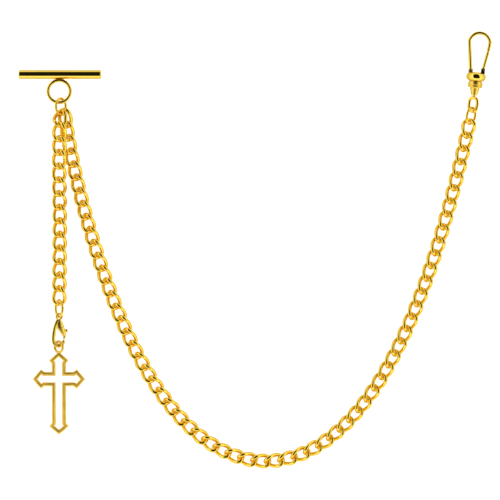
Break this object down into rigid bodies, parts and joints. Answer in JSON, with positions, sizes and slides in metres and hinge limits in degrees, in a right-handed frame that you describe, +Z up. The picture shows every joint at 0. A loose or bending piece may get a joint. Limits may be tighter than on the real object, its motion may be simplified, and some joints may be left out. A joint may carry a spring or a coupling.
{
  "type": "pocket watch chain",
  "caption": "Gilt curb pocket watch chain laid flat, with a T-bar and ring, a short drop holding a lobster clasp and openwork cross, and a long chain ending in a swivel hook.",
  "frame": {"origin": "centre of the bounding box in plan, on the surface the chain lies on", "axes": "+X along the T-bar and across the laid-out chain, +Y from the bottom of the long curve towards the T-bar, +Z up off the surface"},
  "size_m": [0.1718, 0.1588, 0.0077],
  "materials": {
    "polished_gold": "mirror polished gilt",
    "chain_gold": "polished gilt wire",
    "cast_gold": "cast and polished gilt",
    "spring_steel": "plain spring wire and pins"
  },
  "bodies": {
    "bar": {"t_bar": "polished_gold", "t_bar_ring": "polished_gold"},
    "top_ring": {"top_jump_ring": "chain_gold"},
    "drop_01": {"drop_links_01": "chain_gold"},
    "drop_02": {"drop_links_02": "chain_gold"},
    "drop_03": {"drop_links_03": "chain_gold"},
    "drop_04": {"drop_links_04": "chain_gold"},
    "drop_05": {"drop_links_05": "chain_gold"},
    "drop_06": {"drop_links_06": "chain_gold"},
    "drop_07": {"drop_links_07": "chain_gold"},
    "drop_ring": {"drop_jump_ring": "chain_gold"},
    "lobster": {"lobster_body": "chain_gold", "lobster_pin": "spring_steel", "lobster_spring": "spring_steel"},
    "lever": {"lobster_lever": "chain_gold"},
    "cross": {"cross_pendant": "cast_gold"},
    "long_01": {"long_links_01": "chain_gold"},
    "long_02": {"long_links_02": "chain_gold"},
    "long_03": {"long_links_03": "chain_gold"},
    "long_04": {"long_links_04": "chain_gold"},
    "long_05": {"long_links_05": "chain_gold"},
    "long_06": {"long_links_06": "chain_gold"},
    "long_07": {"long_links_07": "chain_gold"},
    "long_08": {"long_links_08": "chain_gold"},
    "long_09": {"long_links_09": "chain_gold"},
    "long_10": {"long_links_10": "chain_gold"},
    "long_11": {"long_links_11": "chain_gold"},
    "long_12": {"long_links_12": "chain_gold"},
    "long_13": {"long_links_13": "chain_gold"},
    "long_14": {"long_links_14": "chain_gold"},
    "long_15": {"long_links_15": "chain_gold"},
    "long_16": {"long_links_16": "chain_gold"},
    "long_17": {"long_links_17": "chain_gold"},
    "long_18": {"long_links_18": "chain_gold"},
    "long_19": {"long_links_19": "chain_gold"},
    "long_20": {"long_links_20": "chain_gold"},
    "long_21": {"long_links_21": "chain_gold"},
    "long_22": {"long_links_22": "chain_gold"},
    "long_23": {"long_links_23": "chain_gold"},
    "long_24": {"long_links_24": "chain_gold"},
    "long_25": {"long_links_25": "chain_gold"},
    "long_26": {"long_links_26": "chain_gold"},
    "long_27": {"long_links_27": "chain_gold"},
    "long_28": {"long_links_28": "chain_gold"},
    "long_29": {"long_links_29": "chain_gold"},
    "long_30": {"long_links_30": "chain_gold"},
    "long_31": {"long_links_31": "chain_gold"},
    "long_32": {"long_links_32": "chain_gold"},
    "end_ring": {"end_jump_ring": "chain_gold"},
    "eye": {"swivel_eye": "chain_gold"},
    "clasp": {"swivel_cone": "polished_gold", "swivel_bead": "polished_gold", "hook_wire": "polished_gold", "gate_pin": "spring_steel", "gate_spring": "spring_steel"},
    "gate": {"gate": "polished_gold"}
  },
  "joints": [
    {"name": "top_ring_swing", "type": "hinge", "parent": "bar", "child": "top_ring", "pos_m": [-0.07051, 0.05394, 0.00241], "axis": [-1, 0, 0], "range_deg": [0, 60]},
    {"name": "drop_ring_lift", "type": "hinge", "parent": "drop_07", "child": "drop_ring", "pos_m": [-0.0711, -0.01954, 0.00271], "axis": [-1, 0, 0], "range_deg": [0, 25]},
    {"name": "lobster_turn", "type": "hinge", "parent": "drop_ring", "child": "lobster", "pos_m": [-0.0711, -0.02408, 0.00271], "axis": [0.3398, -0.0832, 0.9368], "range_deg": [-20, 20]},
    {"name": "lever_press", "type": "hinge", "parent": "lobster", "child": "lever", "pos_m": [-0.07027, -0.02797, 0.00207], "axis": [-0.3398, 0.0832, -0.9368], "range_deg": [0, 22], "stiffness_Nm_per_rad": 0.001},
    {"name": "cross_turn", "type": "hinge", "parent": "lobster", "child": "cross", "pos_m": [-0.07135, -0.03285, 0.00202], "axis": [0, 0, 1], "range_deg": [-12, 12]},
    {"name": "end_ring_bend", "type": "hinge", "parent": "long_32", "child": "end_ring", "pos_m": [0.07856, 0.04752, 0.00251], "axis": [0, 0, 1], "range_deg": [-12, 12]},
    {"name": "eye_bend", "type": "hinge", "parent": "end_ring", "child": "eye", "pos_m": [0.07954, 0.05196, 0.00251], "axis": [0, 0, 1], "range_deg": [-12, 12]},
    {"name": "clasp_swivel", "type": "hinge", "parent": "eye", "child": "clasp", "pos_m": [0.08012, 0.05819, 0.00307], "axis": [0.0917, 0.9883, 0.1219], "continuous": true},
    {"name": "gate_press", "type": "hinge", "parent": "clasp", "child": "gate", "pos_m": [0.0831, 0.06564, 0.00402], "axis": [-0.0113, -0.1213, 0.9925], "range_deg": [0, 22], "stiffness_Nm_per_rad": 0.001},
    {"name": "drop_01_bend", "type": "hinge", "parent": "top_ring", "child": "drop_01", "pos_m": [-0.07066, 0.05012, 0.00312], "axis": [-0.0029, -0.449, -0.8935], "range_deg": [0, 6]},
    {"name": "drop_02_bend", "type": "hinge", "parent": "drop_01", "child": "drop_02", "pos_m": [-0.07072, 0.04054, 0.00592], "axis": [0, 0, -1], "range_deg": [0, 12]},
    {"name": "drop_03_lift", "type": "hinge", "parent": "drop_02", "child": "drop_03", "pos_m": [-0.07078, 0.03067, 0.00597], "axis": [-1, 0.0064, 0], "range_deg": [0, 15]},
    {"name": "drop_04_bend", "type": "hinge", "parent": "drop_03", "child": "drop_04", "pos_m": [-0.07085, 0.02078, 0.0042], "axis": [-0.0014, -0.2136, 0.9769], "range_deg": [-12, 12]},
    {"name": "drop_05_bend", "type": "hinge", "parent": "drop_04", "child": "drop_05", "pos_m": [-0.07091, 0.01098, 0.00233], "axis": [0.0002, 0.029, -0.9996], "range_deg": [-12, 12]},
    {"name": "drop_06_lift", "type": "hinge", "parent": "drop_05", "child": "drop_06", "pos_m": [-0.07097, 0.00114, 0.00228], "axis": [-1, 0.0064, 0], "range_deg": [0, 15]},
    {"name": "drop_07_bend", "type": "hinge", "parent": "drop_06", "child": "drop_07", "pos_m": [-0.07103, -0.00872, 0.00249], "axis": [0.0003, 0.0434, 0.9991], "range_deg": [-12, 12]},
    {"name": "long_01_bend", "type": "hinge", "parent": "top_ring", "child": "long_01", "pos_m": [-0.0694, 0.05067, 0.00196], "axis": [0, 0, 1], "range_deg": [0, 6]},
    {"name": "long_02_bend", "type": "hinge", "parent": "long_01", "child": "long_02", "pos_m": [-0.06789, 0.04105, 0.00196], "axis": [-0.001, 0.0057, 1], "range_deg": [0, 12]},
    {"name": "long_03_bend", "type": "hinge", "parent": "long_02", "child": "long_03", "pos_m": [-0.06602, 0.03145, 0.00205], "axis": [-0.0029, 0.0129, 0.9999], "range_deg": [0, 12]},
    {"name": "long_04_bend", "type": "hinge", "parent": "long_03", "child": "long_04", "pos_m": [-0.06382, 0.02189, 0.00218], "axis": [-0.0028, 0.0109, 0.9999], "range_deg": [0, 12]},
    {"name": "long_05_bend", "type": "hinge", "parent": "long_04", "child": "long_05", "pos_m": [-0.06134, 0.01238, 0.00227], "axis": [-0.0004, 0.0015, 1], "range_deg": [0, 12]},
    {"name": "long_06_bend", "type": "hinge", "parent": "long_05", "child": "long_06", "pos_m": [-0.05861, 0.00293, 0.00227], "axis": [0, 0, 1], "range_deg": [-15, 15]},
    {"name": "long_07_bend", "type": "hinge", "parent": "long_06", "child": "long_07", "pos_m": [-0.05561, -0.00644, 0.00227], "axis": [0, 0, -1], "range_deg": [-15, 15]},
    {"name": "long_08_lift", "type": "hinge", "parent": "long_07", "child": "long_08", "pos_m": [-0.05232, -0.01572, 0.00227], "axis": [-0.9327, -0.3606, 0], "range_deg": [0, 15]},
    {"name": "long_09_bend", "type": "hinge", "parent": "long_08", "child": "long_09", "pos_m": [-0.04868, -0.02487, 0.00227], "axis": [0, 0, -1], "range_deg": [-15, 15]},
    {"name": "long_10_bend", "type": "hinge", "parent": "long_09", "child": "long_10", "pos_m": [-0.04462, -0.03385, 0.00227], "axis": [0, 0, 1], "range_deg": [-15, 15]},
    {"name": "long_11_bend", "type": "hinge", "parent": "long_10", "child": "long_11", "pos_m": [-0.04006, -0.04258, 0.00227], "axis": [0, 0, -1], "range_deg": [-15, 15]},
    {"name": "long_12_bend", "type": "hinge", "parent": "long_11", "child": "long_12", "pos_m": [-0.03488, -0.05095, 0.00227], "axis": [0, 0, 1], "range_deg": [-15, 15]},
    {"name": "long_13_bend", "type": "hinge", "parent": "long_12", "child": "long_13", "pos_m": [-0.02893, -0.0588, 0.00227], "axis": [0, 0, -1], "range_deg": [-15, 15]},
    {"name": "long_14_lift", "type": "hinge", "parent": "long_13", "child": "long_14", "pos_m": [-0.02205, -0.06585, 0.00227], "axis": [-0.6246, -0.7809, 0], "range_deg": [0, 15]},
    {"name": "long_15_bend", "type": "hinge", "parent": "long_14", "child": "long_15", "pos_m": [-0.01408, -0.07164, 0.00227], "axis": [0, 0, -1], "range_deg": [-15, 15]},
    {"name": "long_16_bend", "type": "hinge", "parent": "long_15", "child": "long_16", "pos_m": [-0.00503, -0.07552, 0.00227], "axis": [0, 0, 1], "range_deg": [-15, 15]},
    {"name": "long_17_bend", "type": "hinge", "parent": "long_16", "child": "long_17", "pos_m": [0.00472, -0.07682, 0.00227], "axis": [0, 0, -1], "range_deg": [-15, 15]},
    {"name": "long_18_bend", "type": "hinge", "parent": "long_17", "child": "long_18", "pos_m": [0.01443, -0.07524, 0.00227], "axis": [0, 0, 1], "range_deg": [-15, 15]},
    {"name": "long_19_bend", "type": "hinge", "parent": "long_18", "child": "long_19", "pos_m": [0.02338, -0.07113, 0.00227], "axis": [0, 0, -1], "range_deg": [-15, 15]},
    {"name": "long_20_lift", "type": "hinge", "parent": "long_19", "child": "long_20", "pos_m": [0.03124, -0.0652, 0.00227], "axis": [0.6989, -0.7152, 0], "range_deg": [0, 15]},
    {"name": "long_21_bend", "type": "hinge", "parent": "long_20", "child": "long_21", "pos_m": [0.03802, -0.05806, 0.00227], "axis": [0, 0, -1], "range_deg": [-15, 15]},
    {"name": "long_22_bend", "type": "hinge", "parent": "long_21", "child": "long_22", "pos_m": [0.04389, -0.05015, 0.00227], "axis": [0, 0, 1], "range_deg": [-15, 15]},
    {"name": "long_23_bend", "type": "hinge", "parent": "long_22", "child": "long_23", "pos_m": [0.049, -0.04174, 0.00227], "axis": [0, 0, -1], "range_deg": [-15, 15]},
    {"name": "long_24_bend", "type": "hinge", "parent": "long_23", "child": "long_24", "pos_m": [0.05351, -0.03298, 0.00227], "axis": [0, 0, 1], "range_deg": [-15, 15]},
    {"name": "long_25_bend", "type": "hinge", "parent": "long_24", "child": "long_25", "pos_m": [0.05753, -0.02399, 0.00227], "axis": [0, 0, -1], "range_deg": [-15, 15]},
    {"name": "long_26_lift", "type": "hinge", "parent": "long_25", "child": "long_26", "pos_m": [0.06114, -0.01482, 0.00227], "axis": [0.9401, -0.3409, 0], "range_deg": [0, 15]},
    {"name": "long_27_bend", "type": "hinge", "parent": "long_26", "child": "long_27", "pos_m": [0.06442, -0.00553, 0.00227], "axis": [0, 0, -1], "range_deg": [-15, 15]},
    {"name": "long_28_bend", "type": "hinge", "parent": "long_27", "child": "long_28", "pos_m": [0.06742, 0.00385, 0.00227], "axis": [0, 0, 1], "range_deg": [-15, 15]},
    {"name": "long_29_bend", "type": "hinge", "parent": "long_28", "child": "long_29", "pos_m": [0.07018, 0.0133, 0.00227], "axis": [0, 0, -1], "range_deg": [-15, 15]},
    {"name": "long_30_bend", "type": "hinge", "parent": "long_29", "child": "long_30", "pos_m": [0.07274, 0.02282, 0.00227], "axis": [0, 0, 1], "range_deg": [-15, 15]},
    {"name": "long_31_bend", "type": "hinge", "parent": "long_30", "child": "long_31", "pos_m": [0.07511, 0.03238, 0.0023], "axis": [0.005, 0.0211, -0.9998], "range_deg": [-15, 15]},
    {"name": "long_32_bend", "type": "hinge", "parent": "long_31", "child": "long_32", "pos_m": [0.07734, 0.04197, 0.00251], "axis": [-0.0008, -0.0036, 1], "range_deg": [-15, 15]}
  ]
}
